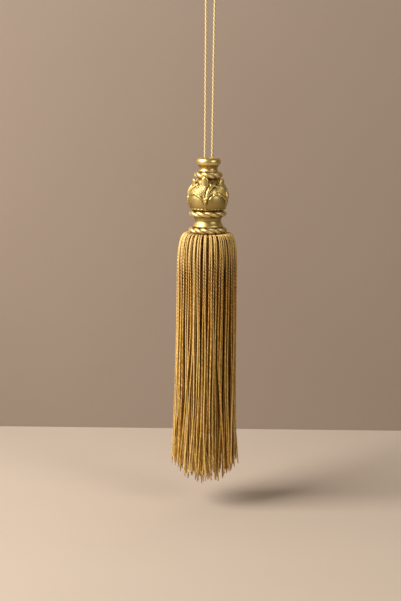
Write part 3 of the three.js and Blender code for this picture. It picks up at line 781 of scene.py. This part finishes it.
def fallen_strands(order):
    """Rings of a layer's strands, with each point's place in the yarn, tone, painted shade and painted
    highlight.
    """
    layer, way = LAYERS[order], strand_ways(order)

    # A strand's plies are lobes of its section, which turn with the twist and sink away as it slackens.
    travel = unit(np.gradient(way.lines, axis=1))
    across = np.stack([-np.sin(way.angle), np.cos(way.angle), np.zeros_like(way.angle)], axis=-1)
    outward = unit(np.cross(travel, across))
    tight = TIGHT_TOP - TIGHT_LOSS * way.share - TIGHT_SCATTER * scatter(way.number, "slackness")
    tight = np.clip(tight, TIGHT_LEAST, 1)
    tight = tight * np.maximum(share_between(way.from_root, *TIGHT_EASES), TIGHT_AT_ROOT)
    twist = layer.twist * (TWIST_LEAST + TWIST_SCATTER * scatter(way.number, "twist"))
    turns = way.run / twist + scatter(way.number, "phase")
    thick = np.minimum(layer.wide * (1 - THINNING * way.share), CROWDING * way.room) / 2
    thick = thick * (1 - END_TAPER * share_between(way.to_end, END_TAPER_OVER, 0))
    around, lobes, groove_depth = two_ply(layer.sides, STRAND_PLY_OFFSET)
    tight, share, turns = tight[..., None], way.share[..., None], turns[..., None]
    spread = thick[..., None] * (1 - tight * (1 - lobes))
    swing = 2 * np.pi * turns + around
    rings = rings_round(way.lines, outward, np.cross(outward, travel), spread, swing)
    yarn = yarn_places(spread, around, way.run) + way.number[..., None, None] * np.array(YARN_STEP)

    # Painted shade at each point, by how deep it lies in a gap.
    facing_out = np.cos(swing)
    groove_facing_out = np.sin(2 * np.pi * turns) ** 2
    groove = tight * groove_depth**GROOVE_POWER
    groove = np.maximum(groove, GROOVE_FACING_OUT * tight * groove_facing_out**2)
    groove = np.maximum(groove, np.clip(FLANK_MIDDLE - FLANK_RISE * facing_out, 0, FLANK_MOST))
    dim = layer.dimness * (DIM_TOP + (1 - DIM_TOP) * share_between(share, 0, DIM_FULL_AT))
    dim = dim * (1 - DIM_CLEARS * share**3 - DIM_TIP_CLEARS * share_between(share, DIM_TIP_FROM, 1))
    groove = np.maximum(groove, dim)

    # The strand's own shade with painted light over the shoulder, and painted highlights on its crowns and
    # end.
    shade = scatter(way.number, "shade")
    lighter = shade + SHOULDER_PAINTED_LIGHT * share_between(way.fall, SHOULDER_PAINTED_LIGHT_OVER, 0)
    shade = np.where(shade < OLIVE_FROM, np.minimum(lighter, OLIVE_FROM), shade)
    crown = PALE_SHOULDER * share_between(way.fall, PALE_SHOULDER_OVER, 0)[..., None]
    crown = crown + PALE_PLY * tight * (1 - groove_facing_out) ** 2
    end = PALE_END * share_between(way.to_end, PALE_END_OVER, 0)[..., None]
    pale = crown * np.clip(facing_out, 0, 1) + end
    return rings, yarn, groove, np.broadcast_to(shade[..., None], groove.shape), pale


def strand_piece(name, made, chosen=slice(None)):
    """One piece of those strands of a layer that are chosen."""
    rings, yarn, groove, shade, pale = (part[chosen] for part in made)
    count, sections, sides = groove.shape
    faces = []
    for strand in range(count):
        faces += tube_faces(sections, sides, start=strand * sections * sides)
    make_piece(
        name,
        rings,
        faces,
        skirt_yarn,
        slot="skirt_yarn",
        node="skirt",
        fibre=yarn,
        groove=groove,
        shade=shade,
        pale=pale,
    )


outermost = fallen_strands(0)
half = LAYERS[0].strands // 2
strand_piece("skirt_outer_strands_back", outermost, slice(0, half))
strand_piece("skirt_outer_strands_front", outermost, slice(half, None))
for order, name in enumerate(INNER_LAYERS, start=1):
    strand_piece(f"skirt_{name}_strands", fallen_strands(order))

heading_line = np.vstack([smooth_line(pair, HEADING_SPACING) for pair in zip(HEADING_ROWS, HEADING_ROWS[1:])])
azimuth = 2 * np.pi * np.arange(HEADING_STEPS) / HEADING_STEPS
radius, depth = heading_line[:, :1], np.repeat(heading_line[:, 1:], HEADING_STEPS, axis=1)
heading_places = np.stack([radius * np.cos(azimuth), radius * np.sin(azimuth), HEAD_TOP - depth], axis=-1)
make_piece(
    "skirt_heading",
    heading_places,
    [face[::-1] for face in tube_faces(len(heading_line), HEADING_STEPS)],
    skirt_yarn,
    slot="skirt_yarn",
    node="skirt",
    fibre=heading_places,
    groove=np.full(depth.shape, HEADING_PAINTED_SHADE),
    shade=np.full(depth.shape, HEADING_SHADE),
    pale=np.zeros(depth.shape),
)


# Studio
# A plain pale floor just under the hem, a plain warm wall behind, a broad soft light from the left and a
# weaker one from the right. Floor and wall are a little cloudy, in patches of about 11 cm.
FLOOR_AT, WALL_AT, SHEET_REACH = -0.262, 0.15, 3.0
CLOUD_WIDE = 0.11
LIGHTS_AIM = (0, 0, -0.15)
AIR_GLOW = 0.1


def plain_sheet(name, corners, colour, cloudy):
    """A large cloudy sheet with a front only, so that it hides nothing from a viewer behind it."""
    mesh = bpy.data.meshes.new(name)
    mesh.from_pydata(corners, [], [(0, 1, 2, 3)])
    material, tree, surface = new_material(name)
    where = add_node(tree, "TexCoord").outputs["Object"]
    cloud = add_node(
        tree, "TexNoise", {"Vector": where, "Scale": 1 / CLOUD_WIDE, "Detail": 3.0}
    ).outputs["Fac"]
    tone = add_node(
        tree, "Mix", {0: cloud, 6: linear(colour), 7: linear(cloudy)}, data_type="RGBA"
    ).outputs[2]
    shader = add_node(tree, "BsdfPrincipled", {"Base Color": tone, "Roughness": 0.6})
    behind = add_node(tree, "NewGeometry").outputs["Backfacing"]
    clear = add_node(tree, "BsdfTransparent").outputs[0]
    one_sided = add_node(tree, "MixShader", {0: behind, 1: shader.outputs[0], 2: clear})
    tree.links.new(one_sided.outputs[0], surface.inputs[0])
    mesh.materials.append(material)
    add_object(name, mesh)


plain_sheet(
    "studio_floor",
    [
        (-SHEET_REACH, -SHEET_REACH, FLOOR_AT),
        (SHEET_REACH, -SHEET_REACH, FLOOR_AT),
        (SHEET_REACH, SHEET_REACH, FLOOR_AT),
        (-SHEET_REACH, SHEET_REACH, FLOOR_AT),
    ],
    colour="#b5a79a",
    cloudy="#bdb0a3",
)
plain_sheet(
    "studio_wall",
    [
        (-SHEET_REACH, WALL_AT, FLOOR_AT),
        (SHEET_REACH, WALL_AT, FLOOR_AT),
        (SHEET_REACH, WALL_AT, SHEET_REACH),
        (-SHEET_REACH, WALL_AT, SHEET_REACH),
    ],
    colour="#8c7d70",
    cloudy="#928376",
)


def softbox(name, at, across, watts, colour):
    """A soft square light that faces the middle of the tassel."""
    light = bpy.data.lights.new(name, "AREA")
    light.shape = "RECTANGLE"
    light.size, light.size_y = across, across
    light.energy = watts
    light.color = linear(colour)[:3]
    lamp = add_object(name, light)
    lamp.location = at
    lamp.rotation_euler = (Vector(LIGHTS_AIM) - Vector(at)).to_track_quat("-Z", "Y").to_euler()


softbox("key_from_left", at=(-0.68, -0.3, 0.36), across=0.6, watts=16.7, colour="#fff9f0")
softbox("fill_from_right", at=(0.55, -0.5, 0.2), across=0.3, watts=2.0, colour="#fff6ea")
world = bpy.data.worlds.new("studio_air")
world.use_nodes = True
world.node_tree.nodes["Background"].inputs["Color"].default_value = linear("#c8bcae")
world.node_tree.nodes["Background"].inputs["Strength"].default_value = AIR_GLOW
bpy.context.scene.world = world
bpy.context.scene.view_settings.view_transform = "Standard"
